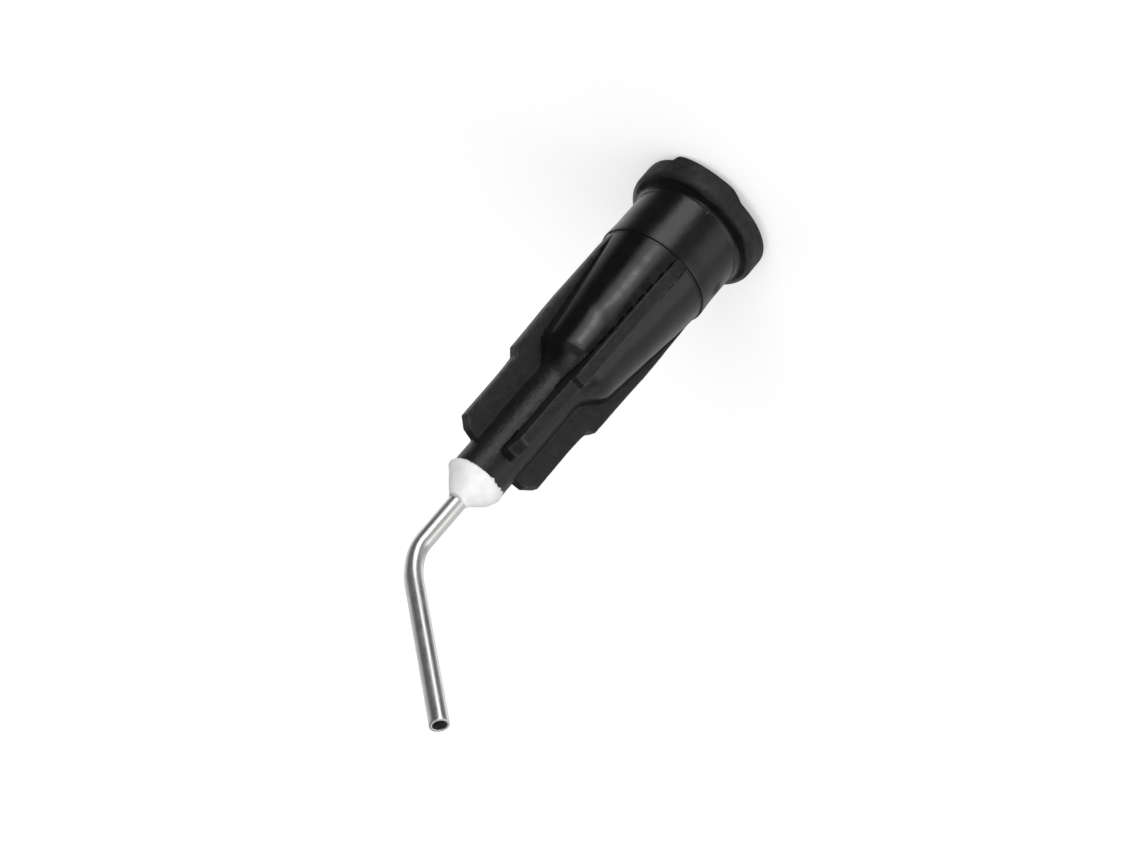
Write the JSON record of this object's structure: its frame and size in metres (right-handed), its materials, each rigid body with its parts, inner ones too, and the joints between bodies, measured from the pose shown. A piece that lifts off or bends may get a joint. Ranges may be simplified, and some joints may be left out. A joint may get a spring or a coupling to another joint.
{
  "type": "dental irrigation needle",
  "caption": "Blunt bent steel irrigation tube glued into a black ribbed luer-lock hub, standing on its socket mouth.",
  "frame": {"origin": "centre of the hub's mouth plane, where the luer socket opens; the hub stands on this plane", "axes": "+Z along the hub's axis from the mouth to the nose; +X is the side the tube bends towards, so the bend lies in the XZ plane; +Y completes the frame"},
  "size_m": [0.0118, 0.0078, 0.0337],
  "materials": {
    "black_plastic": "satin",
    "steel_tube": "satin",
    "white_adhesive": "satin"
  },
  "bodies": {
    "root": {"hub": "black_plastic", "cannula": "steel_tube", "adhesive_bead": "white_adhesive"}
  },
  "joints": []
}
